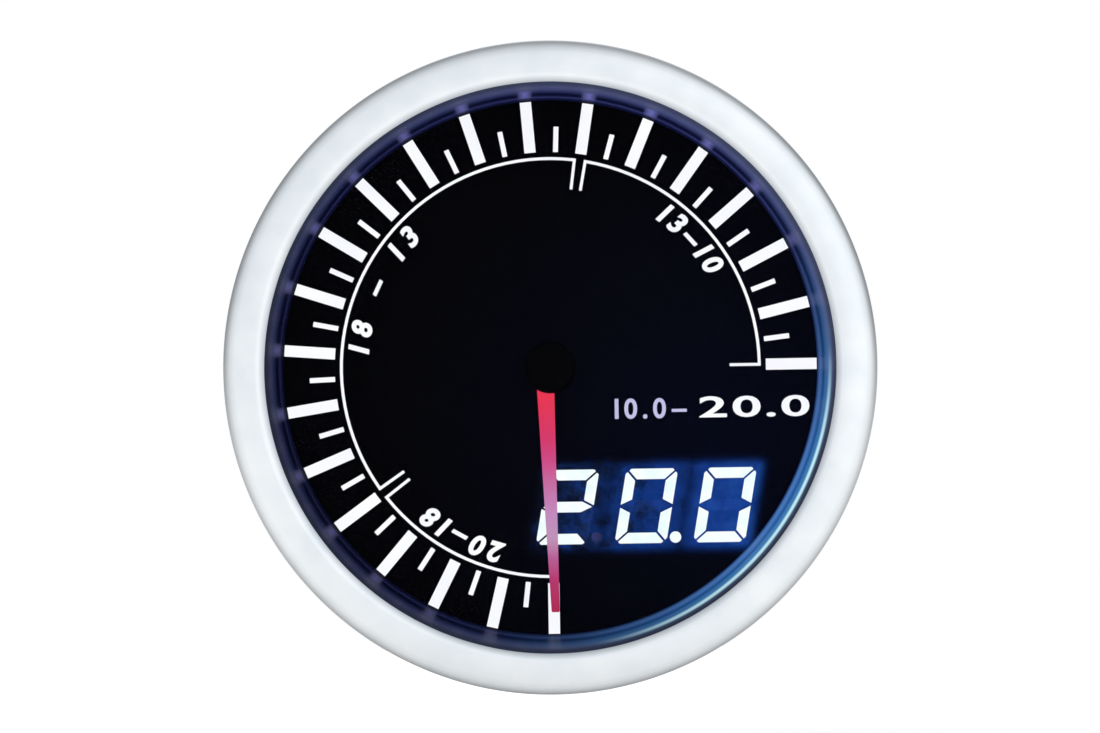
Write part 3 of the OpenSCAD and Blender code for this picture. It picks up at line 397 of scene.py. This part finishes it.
def lit_print(name, dim, bright):
    """Pale print, lit from behind, with the light a little uneven along it."""
    made, tree, surface = new_material(name, Base_Color=linear("#2A2B30"), Roughness=0.5,
                                       Specular_IOR_Level=0.1, Emission_Strength=1.02)
    where = add_node(tree, "TexCoord").outputs["Object"]
    cloud = add_node(tree, "TexNoise", {"Vector": where, "Scale": grain_scale(9.0)})
    white = add_node(tree, "ValToRGB", {"Fac": cloud.outputs["Fac"]})
    set_ramp(white.color_ramp, [(0.3, dim), (0.7, bright)])
    tree.links.new(white.outputs["Color"], surface.inputs["Emission Color"])
    return made


def readout_surface(name, lift, **shader):
    """A black surface of the readout, lit blue round the digits; lift scales that light."""
    made, tree, surface = new_material(name, **shader)
    where = add_node(tree, "TexCoord").outputs["Object"]
    blue, fade = readout_glow(tree, where)
    tree.links.new(blue, surface.inputs["Emission Color"])
    strength = add_node(tree, "Math", {0: fade, 1: lift}, operation="MULTIPLY")
    tree.links.new(strength.outputs[0], surface.inputs["Emission Strength"])
    return made


def unlit_bar():
    """Epoxy bar that isn't lit, as dark as the case; painted light makes the first digit's point
    glow a little paler.
    """
    made = readout_surface("unlit_epoxy_bar", 1.18, Base_Color=linear("#0A0C14"), Roughness=0.45,
                           Specular_IOR_Level=0.05)
    tree = made.node_tree
    surface = tree.nodes["Principled BSDF"]
    blue = surface.inputs["Emission Color"].links[0].from_socket
    # painted glow: a paler blue emitted round the first digit's point
    place = add_node(tree, "VectorMath", {0: add_node(tree, "TexCoord").outputs["Object"],
                                          1: on_dial(*FIRST_POINT, 0)},
                     operation="SUBTRACT")
    flat = add_node(tree, "VectorMath", {0: place.outputs[0], 1: (1, 0, 1)}, operation="MULTIPLY")
    away = add_node(tree, "VectorMath", {0: flat.outputs[0]}, operation="LENGTH")
    near = add_node(tree, "MapRange", {"Value": away.outputs["Value"], "From Min": 0.4 * MM,
                                       "From Max": 0.7 * MM, "To Min": 1.0, "To Max": 0.0})
    paler = add_node(tree, "Mix", {"Factor": near.outputs["Result"], "A": blue,
                                   "B": linear("#32386A")}, data_type="RGBA")
    tree.links.new(paler.outputs["Result"], surface.inputs["Emission Color"])
    return made


def lit_bar(name, dim, bright, strength, reach):
    """Moulded epoxy bar of the readout: its colour is uneven, as the lamp behind it is."""
    made, tree, surface = new_material(name, Base_Color=linear("#0A0C14"), Roughness=0.45,
                                       Specular_IOR_Level=0.1, Emission_Strength=strength)
    where = add_node(tree, "TexCoord").outputs["Object"]
    cloud = add_node(tree, "TexNoise", {"Vector": where, "Scale": grain_scale(reach),
                                        "Detail": 3.0})
    tint = add_node(tree, "ValToRGB", {"Fac": cloud.outputs["Fac"]})
    set_ramp(tint.color_ramp, [(0.35, dim), (0.6, bright)])
    tree.links.new(tint.outputs["Color"], surface.inputs["Emission Color"])
    return made


def pointer_acrylic():
    """Red acrylic with light carried along it: red at root and tip, and pale lavender half way,
    which is painted light from the readout beside it.
    """
    made, tree, surface = new_material("light_carrying_red_acrylic", Base_Color=linear("#30040F"),
                                       Roughness=0.4, Specular_IOR_Level=0.15,
                                       Emission_Strength=1.04)
    where = add_node(tree, "TexCoord").outputs["Object"]
    parts = add_node(tree, "SeparateXYZ", {0: where})
    along = add_node(tree, "MapRange", {"Value": parts.outputs["Z"], "From Min": 0.0,
                                        "From Max": POINTER_TIP_Y * MM})
    tint = add_node(tree, "ValToRGB", {"Fac": along.outputs["Result"]})
    # painted light: the pale lavender half way stands for the readout's light beside the blade
    set_ramp(tint.color_ramp, [(0.1, "#E62E4A"), (0.17, "#DB2F51"), (0.3, "#CE3468"),
                               (0.38, "#C94583"), (0.5, "#BF70A6"), (0.6, "#BD88BC"),
                               (0.7, "#BA90B6"), (0.78, "#B25A92"), (0.87, "#B0306A"),
                               (1.0, "#A8224A")])
    tree.links.new(tint.outputs["Color"], surface.inputs["Emission Color"])
    return made


def board_laminate():
    """Glass laminate under green solder mask, with paler tracks under the mask."""
    made, tree, surface = new_material("green_solder_mask", Roughness=0.3, Coat_Weight=0.4,
                                       Coat_Roughness=0.15)
    where = add_node(tree, "TexCoord").outputs["Object"]
    tracks = add_node(tree, "TexBrick", {"Vector": where, "Scale": grain_scale(3.0),
                                         "Color1": linear("#0B4A22"), "Color2": linear("#0E5527"),
                                         "Mortar": linear("#2B8046"), "Mortar Size": 0.06})
    weave = add_node(tree, "TexNoise", {"Vector": where, "Scale": grain_scale(0.3)})
    bump = add_node(tree, "Bump", {"Height": weave.outputs["Fac"], "Distance": 0.01 * MM,
                                   "Strength": 0.4})
    tree.links.new(tracks.outputs["Color"], surface.inputs["Base Color"])
    tree.links.new(bump.outputs["Normal"], surface.inputs["Normal"])
    return made


def wound_copper():
    """Enamelled copper wire, wound in close turns."""
    made, tree, surface = new_material("enamelled_copper_wire", Metallic=1.0, Roughness=0.3)
    where = add_node(tree, "TexCoord").outputs["Object"]
    turns = add_node(tree, "TexWave", {"Vector": where, "Scale": grain_scale(0.12) / TURN,
                                       "Distortion": 0.6}, bands_direction="DIAGONAL")
    tint = add_node(tree, "ValToRGB", {"Fac": turns.outputs["Fac"]})
    set_ramp(tint.color_ramp, [(0.0, "#6E2C14"), (0.6, "#C8703A")])
    bump = add_node(tree, "Bump", {"Height": turns.outputs["Fac"], "Distance": 0.05 * MM,
                                   "Strength": 0.8})
    tree.links.new(tint.outputs["Color"], surface.inputs["Base Color"])
    tree.links.new(bump.outputs["Normal"], surface.inputs["Normal"])
    return made


def studio_floor():
    """Pale matt floor, white to the camera and in mirrors, that keeps the object's shadow."""
    made, tree, surface = new_material("pale_studio_floor", Base_Color=linear("#F2F2F2"),
                                       Roughness=0.9, Emission_Color=linear("#FFFFFF"))
    path = add_node(tree, "LightPath")
    seen = add_node(tree, "Math", {0: path.outputs["Is Camera Ray"],
                                   1: path.outputs["Is Glossy Ray"]}, operation="MAXIMUM")
    seen = add_node(tree, "Math", {0: seen.outputs[0], 1: path.outputs["Is Transmission Ray"]},
                    operation="MAXIMUM")
    share = add_node(tree, "Math", {0: seen.outputs[0], 1: 0.3}, operation="MULTIPLY")
    tree.links.new(share.outputs[0], surface.inputs["Emission Strength"])
    return made


# each finish belongs to one material slot of the record
FINISHES = {
    "anodised_aluminium": blasted_aluminium(),
    "clear_acrylic": clear_acrylic(),
    "black_rubber": grained("moulded_black_rubber", "#0E0E0F", "#161617", 0.8, 0.2, 0.02),
    "navy_trim": navy_trim(),
    "dial_black": dial_print(),
    "dial_white": lit_print("backlit_white_print", "#F4F6FD", "#FDFEFF"),
    "window_blue": readout_surface("smoked_blue_window", 1.0, Base_Color=linear("#04050C"),
                                   Roughness=0.1, Specular_IOR_Level=0.1, Alpha=0.03),
    "pointer_red": pointer_acrylic(),
    "cap_black": grained("satin_black_abs", "#020203", "#030304", 0.5, 0.15, 0.006,
                         Specular_IOR_Level=0.008),
    "steel_pin": grained("ground_steel", "#B9BBBE", "#CCCED0", 0.25, 0.1, 0.002, Metallic=1.0),
    "light_acrylic": grained("frosted_acrylic_guide", "#DDE6F2", "#EDF3FA", 0.5, 0.2, 0.01,
                             Alpha=0.6, IOR=1.49),
    "white_plastic": grained("moulded_white_abs", "#DADAD6", "#E4E4E0", 0.5, 0.25, 0.01),
    "display_black": readout_surface("moulded_black_epoxy_case", 1.0,
                                     Base_Color=linear("#050508"), Roughness=0.6,
                                     Specular_IOR_Level=0.02),
    "segment_lit": lit_bar("lit_epoxy_bar", "#EAFBFA", "#F8FFFF", 1.12, 1.6),
    "segment_unlit": unlit_bar(),
    "tinned_wire": grained("tinned_copper_wire", "#BFC1BD", "#D2D3CF", 0.3, 0.12, 0.003,
                           Metallic=1.0),
    "circuit_board": board_laminate(),
    "led_white": grained("lamp_resin", "#E8E2B4", "#F0ECC8", 0.35, 0.3, 0.005,
                         Emission_Color=linear("#FFFFFF"), Emission_Strength=0.1),
    "chip_black": grained("moulded_chip_epoxy", "#1B1B1D", "#242427", 0.55, 0.12, 0.006),
    "capacitor_can": grained("drawn_aluminium_can", "#C3C6CA", "#D5D8DB", 0.3, 0.3, 0.004,
                             Metallic=1.0),
    "socket_ivory": grained("moulded_ivory_nylon", "#D9D0B4", "#E4DCC4", 0.5, 0.3, 0.01,
                            Subsurface_Weight=0.05),
    "gold_plate": grained("gold_plated_pin", "#DDB65A", "#EBCB7C", 0.25, 0.1, 0.002,
                          Metallic=1.0),
    "can_black": grained("spark_textured_black_abs", "#141416", "#1D1D20", 0.6, 0.35, 0.05),
    "motor_case": grained("moulded_cream_abs", "#D8D4C4", "#E2DFD2", 0.5, 0.3, 0.01),
    "gear_plastic": grained("moulded_acetal", "#DAD8CA", "#E8E6DC", 0.35, 0.2, 0.004,
                            Subsurface_Weight=0.05),
    "magnet_grey": grained("sintered_magnet", "#3C3D41", "#4C4D52", 0.55, 0.1, 0.01,
                           Metallic=0.6),
    "stator_steel": grained("stamped_stator_steel", "#7E8186", "#90949A", 0.4, 0.15, 0.004,
                            Metallic=1.0),
    "bobbin_black": grained("moulded_black_nylon", "#141414", "#1E1E1E", 0.5, 0.2, 0.006),
    "copper_wire": wound_copper(),
    "zinc_steel": grained("bright_zinc_plated_steel", "#C4C8CC", "#DADDE0", 0.3, 0.4, 0.006,
                          Metallic=1.0),
    "nut_brass": grained("turned_brass", "#C89A48", "#DAB364", 0.28, 0.2, 0.004, Metallic=1.0),
}
SLOT_OF = {part["node"]: part["material_slot"] for part in frame["record"]["subparts"]}
BODY_OF = {node: body for body, nodes in frame["record"]["behaviour"]["bodies"].items()
           for node in nodes}


# pieces

def add_piece(name, form, slot, body, *nodes):
    """Puts a finished mesh in the scene; it rides on a body and may stand for CAD nodes."""
    mesh = bpy.data.meshes.new(name)
    form.to_mesh(mesh)
    form.free()
    mesh.materials.append(FINISHES[slot])
    for face in mesh.polygons:
        face.use_smooth = True
    mesh.set_sharp_from_angle(angle=math.radians(32))
    piece = bpy.data.objects.new(name, mesh)
    bpy.context.scene.collection.objects.link(piece)
    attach(piece, body)
    if nodes:
        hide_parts(*nodes)
    return piece


def lathe(outline, sides=ROUND_SIDES):
    """A closed ring turned from an outline of (radius, z) points round the dial's axis."""
    form = bmesh.new()
    turns = [TURN * i / sides for i in range(sides)]
    rings = [[form.verts.new(on_dial(r * math.cos(turn), r * math.sin(turn), z)) for turn in turns]
             for r, z in outline]
    for j, ring in enumerate(rings):
        after = rings[(j + 1) % len(rings)]
        for i in range(sides):
            k = (i + 1) % sides
            form.faces.new((ring[i], ring[k], after[k], after[i]))
    bmesh.ops.recalc_face_normals(form, faces=form.faces)
    return form


def rounded(node, width, steps=2, corner=30, reshape=None):
    """A copy of a CAD node whose edges are rounded by a width in mm, in place of the node; reshape
    moves its corners first."""
    form = bmesh.new()
    form.from_mesh(frame["nodes"][node].data)
    bmesh.ops.remove_doubles(form, verts=form.verts, dist=0.002 * MM)
    bmesh.ops.dissolve_limit(form, angle_limit=math.radians(1), verts=form.verts, edges=form.edges)
    if reshape:
        for corner_point in form.verts:
            reshape(corner_point)
    edges = [edge for edge in form.edges if edge.is_manifold
             and edge.calc_face_angle(0) > math.radians(corner)]
    bmesh.ops.bevel(form, geom=edges, offset=width * MM, segments=steps, profile=0.5,
                    affect="EDGES", clamp_overlap=True)
    return add_piece(node + "_rounded", form, SLOT_OF[node], BODY_OF[node], node)


def bezel():
    """Bezel turned with a bowed face that falls away to its side, and a soft inner edge."""
    crest_r = BEZEL_R + (APERTURE_R - BEZEL_R) * BEZEL_CREST_SHARE
    outline = [(BEZEL_REAR_R, 0), (BEZEL_R - BEZEL_BACK_EDGE, 0), (BEZEL_R, BEZEL_BACK_EDGE)]
    for i in range(BEZEL_STEPS + 1):
        turn = math.pi / 2 * i / BEZEL_STEPS
        outline.append((crest_r + (BEZEL_R - crest_r) * math.cos(turn),
                        BEZEL_H - BEZEL_FACE_DROP * (1 - math.sin(turn))))
    for i in range(1, BEZEL_STEPS + 1):
        share = i / BEZEL_STEPS
        outline.append((crest_r + (APERTURE_R - crest_r) * share,
                        BEZEL_H - BEZEL_LIP_DROP * share ** 2))
    outline += [(APERTURE_R, LENS_HIGH.z), (BEZEL_BORE_R, LENS_HIGH.z),
                (BEZEL_BORE_R, BEZEL_REAR_R - BEZEL_BORE_R)]
    add_piece("turned_bezel", lathe(outline), "anodised_aluminium", "housing", "bezel_ring")


def lens():
    """Lens disc with small chamfers."""
    r = LENS_HIGH.x
    low, high = LENS_LOW.z, LENS_HIGH.z
    outline = [(LENS_CENTRE_R, low), (r - LENS_CHAMFER, low), (r, low + LENS_CHAMFER),
               (r, high - LENS_CHAMFER), (r - LENS_CHAMFER, high), (LENS_CENTRE_R, high)]
    add_piece("lens_disc", lathe(outline), "clear_acrylic", "housing", "lens")


def trim():
    """Trim ring between dial and bezel: its step and its foot as the CAD node has them."""
    outline = [(TRIM_R, TRIM_LOW.z), (TRIM_R, TRIM_HIGH.z), (TRIM_TOP_R, TRIM_HIGH.z),
               TRIM_STEP, TRIM_FOOT, (TRIM_FOOT_R, TRIM_LOW.z)]
    add_piece("moulded_trim", lathe(outline), "navy_trim", "housing", "trim_ring")


def draw_in_tip(corner):
    """Draws the blade's left edge in towards its tip, so that the long tick shows beside it."""
    share = corner.co.z / (POINTER_TIP_Y * MM)
    middle = POINTER_ROOT_X * (1 - share)
    if corner.co.x / MM < middle:
        corner.co.x += POINTER_DRAWN_IN * share * MM


def threaded_studs():
    """Both studs: a hexagonal head inside the housing and a rolled thread to the end."""
    form = bmesh.new()
    thread_top = STUD_HIGH.z - STUD_HEAD_H
    rows = round((thread_top - STUD_LOW.z) / THREAD_PITCH * THREAD_ROWS)
    for side in (-1, 1):
        rings = []
        for j in range(rows + 1):
            z = STUD_LOW.z + (thread_top - STUD_LOW.z) * j / rows
            ring = []
            for i in range(SMALL_SIDES):
                phase = (z / THREAD_PITCH - i / SMALL_SIDES) % 1.0
                flank = THREAD_ROOT - abs(2 * phase - 1) * THREAD_FLANK
                cut = THREAD_DEPTH * min(1.0, max(0.0, flank))
                r = min(STUD_R - cut, STUD_R - STUD_END_CHAMFER + (z - STUD_LOW.z))
                turn = TURN * i / SMALL_SIDES
                ring.append(form.verts.new(on_dial(side * STUD_X + r * math.cos(turn),
                                                   r * math.sin(turn), z)))
            rings.append(ring)
        for lower, upper in zip(rings, rings[1:]):
            for i in range(SMALL_SIDES):
                k = (i + 1) % SMALL_SIDES
                form.faces.new((lower[i], lower[k], upper[k], upper[i]))
        form.faces.new(rings[0][::-1])
        form.faces.new(rings[-1])
        head = []
        inward, down = STUD_HEAD_CHAMFER
        for r, z in ((STUD_HEAD_R, thread_top), (STUD_HEAD_R, STUD_HIGH.z - down),
                     (STUD_HEAD_R - inward, STUD_HIGH.z)):
            turns = [TURN * i / HEAD_SIDES for i in range(HEAD_SIDES)]
            head.append([form.verts.new(on_dial(side * STUD_X + r * math.cos(turn),
                                                r * math.sin(turn), z)) for turn in turns])
        for lower, upper in zip(head, head[1:]):
            for i in range(HEAD_SIDES):
                k = (i + 1) % HEAD_SIDES
                form.faces.new((lower[i], lower[k], upper[k], upper[i]))
        form.faces.new(head[0][::-1])
        form.faces.new(head[-1])
    bmesh.ops.recalc_face_normals(form, faces=form.faces)
    add_piece("threaded_studs", form, "zinc_steel", "housing", "mounting_studs")


# lettering of the dial: plain numbers only

def glyph(character, height, bold, slant=0.0):
    """One character as a mesh in mm, standing on the base line y = 0."""
    curve = bpy.data.curves.new("glyph", "FONT")
    curve.body = character
    curve.size = height / FIGURE_SHARE
    curve.offset = bold
    curve.shear = slant
    curve.extrude = FIGURE_LIFT
    curve.resolution_u = 4
    holder = bpy.data.objects.new("glyph", curve)
    bpy.context.scene.collection.objects.link(holder)
    bpy.context.view_layer.update()
    mesh = bpy.data.meshes.new_from_object(holder)
    bpy.data.objects.remove(holder)
    bpy.data.curves.remove(curve)
    return mesh


def width_of(shape):
    """Leftmost and rightmost place of a character's mesh."""
    places = [v.co.x for v in shape.vertices]
    return min(places), max(places)


def write_on_arc(form, words, middle, spacing):
    """Writes along the scale, tops outward; the middle is in degrees clockwise from six o'clock."""
    glyphs = [glyph(c, ARC_FIGURE_H, ARC_FIGURE_BOLD, FIGURE_SLANT) if c != " " else None
              for c in words]
    spans = [width_of(shape) if shape else (0, ARC_FIGURE_H / 2) for shape in glyphs]
    total = sum(high - low for low, high in spans) + spacing * (len(words) - 1)
    at = -total / 2
    for shape, (low, high) in zip(glyphs, spans):
        width = high - low
        if shape:
            turn = math.radians(-90 - middle) - (at + width / 2) / (ARC_FIGURE_R + ARC_FIGURE_H / 2)
            place = (Matrix.Rotation(turn - math.pi / 2, 4, "Z")
                     @ Matrix.Translation((-low - width / 2, ARC_FIGURE_R, DIAL_Z + FIGURE_LIFT)))
            add_glyph(form, shape, place)
        at += width + spacing


def write_level(form, words, left, right, height, bold):
    """Writes on a level line, stretched to reach from left to right."""
    glyphs = [glyph(c, height, bold) for c in words]
    spans = [width_of(shape) for shape in glyphs]
    natural = sum(high - low for low, high in spans)
    wide = (right - left - LEVEL_GAP * (len(words) - 1)) / natural
    at = left
    for shape, (low, high) in zip(glyphs, spans):
        place = (Matrix.Translation((at, LEVEL_BASE, DIAL_Z + FIGURE_LIFT))
                 @ Matrix.Scale(wide, 4, (1, 0, 0)) @ Matrix.Translation((-low, 0, 0)))
        add_glyph(form, shape, place)
        at += (high - low) * wide + LEVEL_GAP


def add_glyph(form, shape, place):
    """Copies a character's mesh into the lettering, standing on the dial."""
    placed = [form.verts.new(on_dial(*(place @ v.co))) for v in shape.vertices]
    for face in shape.polygons:
        form.faces.new([placed[i] for i in face.vertices])
    bpy.data.meshes.remove(shape)


def dial_numbers():
    """Numbers of the three zones along the scale, and the gauge's range above the readout."""
    form = bmesh.new()
    write_on_arc(form, "20–18", 28.5, 0.45)
    write_on_arc(form, "18 – 13", 115.5, 0.85)
    write_on_arc(form, "13–10", 228.5, 0.45)
    write_level(form, "20.0", 14.3, 24.95, 2.05, 0.05)
    bmesh.ops.recalc_face_normals(form, faces=form.faces)
    add_piece("dial_numbers", form, "dial_white", "housing")
    form = bmesh.new()
    write_level(form, "10.0–", 6.15, 13.1, 1.95, 0.06)
    bmesh.ops.recalc_face_normals(form, faces=form.faces)
    faint = add_piece("dial_numbers_faint", form, "dial_white", "housing")
    faint.material_slots[0].material = lit_print("backlit_lavender_print", "#A9A6D6", "#C9C8EA")


# scene

def studio():
    """White surroundings to the eye, soft lamps, and a pale floor under the gauge."""
    scene = bpy.context.scene
    world = bpy.data.worlds.new("studio")
    scene.world = world
    world.use_nodes = True
    tree = world.node_tree
    tree.nodes.clear()
    path = add_node(tree, "LightPath")
    where = add_node(tree, "TexCoord").outputs["Generated"]
    parts = add_node(tree, "SeparateXYZ", {0: where})
    front = add_node(tree, "Math", {0: parts.outputs["Y"], 1: -1.0}, operation="MULTIPLY")
    tone = add_node(tree, "ValToRGB", {"Fac": front.outputs[0]})
    set_ramp(tone.color_ramp, [(0.0, "#C2C5C8"), (0.3, "#D6DADD"), (0.6, "#E0E4E8"),
                               (0.85, "#E8ECF0"), (1.0, "#ECF0F3")])
    light = add_node(tree, "Background", {"Color": linear("#FFFFFF"), "Strength": 0.8})
    seen = add_node(tree, "Background", {"Color": linear("#FFFFFF"), "Strength": 1.0})
    mirrored = add_node(tree, "Background", {"Color": tone.outputs["Color"], "Strength": 1.0})
    plain = add_node(tree, "Math", {0: path.outputs["Is Camera Ray"],
                                    1: path.outputs["Is Transmission Ray"]}, operation="MAXIMUM")
    first = add_node(tree, "MixShader", {0: plain.outputs[0], 1: light.outputs[0],
                                         2: seen.outputs[0]})
    both = add_node(tree, "MixShader", {0: path.outputs["Is Glossy Ray"], 1: first.outputs[0],
                                        2: mirrored.outputs[0]})
    add_node(tree, "OutputWorld", {"Surface": both.outputs[0]})

    for name, place, size, power in (("key_lamp", (1000, 500, 1200), 2200, 5.2),
                                     ("fill_lamp", (-1000, 700, 1200), 2000, 1.3),
                                     ("back_lamp", (200, 1000, -1200), 1300, 3.5)):
        lamp = bpy.data.lights.new(name, "AREA")
        lamp.shape = "DISK"
        lamp.size = size * MM
        lamp.energy = power
        holder = bpy.data.objects.new(name, lamp)
        holder.location = on_dial(*place)
        holder.rotation_euler = (-holder.location).to_track_quat("-Z", "Y").to_euler()
        scene.collection.objects.link(holder)

    form = bmesh.new()
    corners = [(-1, 1), (1, 1), (1, -1), (-1, -1)]
    form.faces.new([form.verts.new(on_dial(x * FLOOR_HALF, FLOOR_Z, z * FLOOR_HALF))
                    for x, z in corners])
    mesh = bpy.data.meshes.new("floor")
    form.to_mesh(mesh)
    form.free()
    mesh.materials.append(studio_floor())
    floor = bpy.data.objects.new("floor", mesh)
    scene.collection.objects.link(floor)

    scene.view_settings.view_transform = "Standard"


def camera():
    """Long lens straight in front of the dial, rolled as the picture is."""
    lens_data = bpy.data.cameras.new("camera")
    lens_data.sensor_width = SENSOR_WIDTH
    lens_data.lens = SENSOR_WIDTH * CAMERA_DISTANCE / (VIEW_WIDTH * MM)
    lens_data.clip_end = 20.0
    holder = bpy.data.objects.new("camera", lens_data)
    holder.location = on_dial(*CAMERA_ASIDE, CAMERA_DISTANCE / MM)
    turned = Euler((math.pi / 2, 0, 0)).to_matrix() @ Matrix.Rotation(-PICTURE_ROLL, 3, "Z")
    holder.rotation_euler = turned.to_euler()
    bpy.context.scene.collection.objects.link(holder)
    bpy.context.scene.camera = holder


camera()
studio()
bezel()
lens()
trim()
threaded_studs()
dial_numbers()
for node, width in (("housing_can", 0.25), ("clamp_bracket", 0.15), ("stud_nuts", 0.2),
                    ("thumb_nut_left", 0.12), ("thumb_nut_right", 0.12), ("lock_washers", 0.08),
                    ("power_socket", 0.15), ("sensor_socket", 0.15), ("pointer_cap", 0.12)):
    rounded(node, width)
rounded("pointer", 0.12, reshape=draw_in_tip)

# every CAD node that is still shown gets its finish
for node, piece in frame["nodes"].items():
    if not piece.material_slots:
        piece.data.materials.append(FINISHES[SLOT_OF[node]])
    for slot in piece.material_slots:
        slot.material = FINISHES[SLOT_OF[node]]
